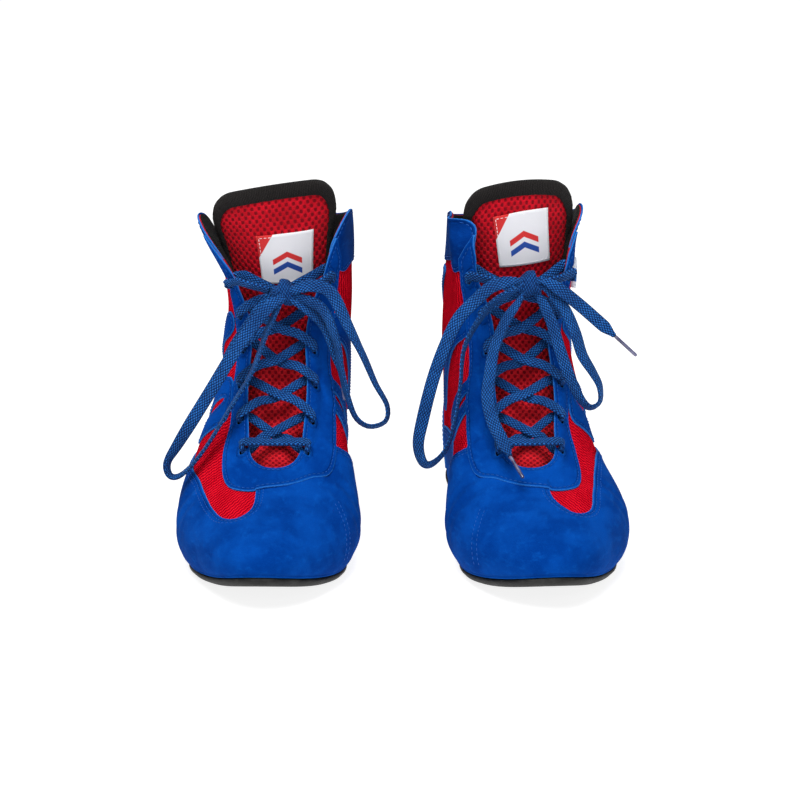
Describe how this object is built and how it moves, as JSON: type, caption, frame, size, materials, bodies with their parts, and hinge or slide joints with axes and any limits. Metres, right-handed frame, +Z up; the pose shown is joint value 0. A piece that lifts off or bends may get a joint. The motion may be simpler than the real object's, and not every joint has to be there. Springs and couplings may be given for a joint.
{
  "type": "pair of boxing boots",
  "caption": "Pair of ankle-high lace-up boxing boots with suede toes and panels over mesh, padded tongues, bow-tied flat laces and thin flexible rubber soles.",
  "frame": {"origin": "middle of the pair on the floor", "axes": "+Z up, -Y towards the toes, +X towards the left boot (the one on the right when seen from the toes)"},
  "size_m": [0.2778, 0.2862, 0.2198],
  "materials": {
    "blue_suede": "napped suede",
    "red_mesh": "spacer mesh",
    "lining_knit": "knitted",
    "black_binding": "ribbed knit tape",
    "white_label": "woven",
    "woven_tag": "woven",
    "blue_lace": "braided",
    "aglet": "clear film",
    "rubber_sole": "matte",
    "insole_board": "fibre board",
    "sock_liner": "foam-backed knit",
    "heel_stiffener": "resin-stiffened felt"
  },
  "bodies": {
    "right_boot": {"right_outsole": "rubber_sole", "right_insole_board": "insole_board", "right_sock_liner": "sock_liner", "right_heel_stiffener": "heel_stiffener", "right_lining": "lining_knit", "right_quarter_lateral": "red_mesh", "right_quarter_medial": "red_mesh", "right_vamp": "blue_suede", "right_eyestay": "blue_suede", "right_stripe_front_lateral": "blue_suede", "right_stripe_front_medial": "blue_suede", "right_stripe_rear_lateral": "blue_suede", "right_stripe_rear_medial": "blue_suede", "right_backstay": "blue_suede", "right_collar_lateral": "blue_suede", "right_collar_medial": "blue_suede", "right_tongue": "red_mesh", "right_lace_crossed": "blue_lace", "right_lace_knot": "blue_lace", "right_lace_loop_lateral": "blue_lace", "right_lace_loop_medial": "blue_lace", "right_lace_end_lateral": "blue_lace", "right_lace_end_medial": "blue_lace", "right_aglet_lateral": "aglet", "right_aglet_medial": "aglet"},
    "right_tongue_flap": {"right_tongue_top": "red_mesh", "right_tongue_binding": "black_binding", "right_tongue_label": "white_label"},
    "left_boot": {"left_outsole": "rubber_sole", "left_insole_board": "insole_board", "left_sock_liner": "sock_liner", "left_heel_stiffener": "heel_stiffener", "left_lining": "lining_knit", "left_quarter_lateral": "red_mesh", "left_quarter_medial": "red_mesh", "left_vamp": "blue_suede", "left_eyestay": "blue_suede", "left_stripe_front_lateral": "blue_suede", "left_stripe_front_medial": "blue_suede", "left_stripe_rear_lateral": "blue_suede", "left_stripe_rear_medial": "blue_suede", "left_backstay": "blue_suede", "left_collar_lateral": "blue_suede", "left_collar_medial": "blue_suede", "left_tongue": "red_mesh", "left_lace_crossed": "blue_lace", "left_lace_knot": "blue_lace", "left_lace_loop_lateral": "blue_lace", "left_lace_loop_medial": "blue_lace", "left_lace_end_lateral": "blue_lace", "left_lace_end_medial": "blue_lace", "left_aglet_lateral": "aglet", "left_aglet_medial": "aglet", "left_side_tag": "woven_tag"},
    "left_tongue_flap": {"left_tongue_top": "red_mesh", "left_tongue_binding": "black_binding", "left_tongue_label": "white_label"}
  },
  "joints": [
    {"name": "boots_apart", "type": "slide", "parent": "right_boot", "child": "left_boot", "axis": [1, 0, 0], "range_m": [0, 0.15]},
    {"name": "right_tongue_fold", "type": "hinge", "parent": "right_boot", "child": "right_tongue_flap", "pos_m": [-0.073, 0.0065, 0.1564], "axis": [1, 0, 0], "range_deg": [-8, 30]},
    {"name": "left_tongue_fold", "type": "hinge", "parent": "left_boot", "child": "left_tongue_flap", "pos_m": [0.0706, 0.0056, 0.1633], "axis": [0.9969, 0.0785, 0], "range_deg": [-8, 30]}
  ]
}
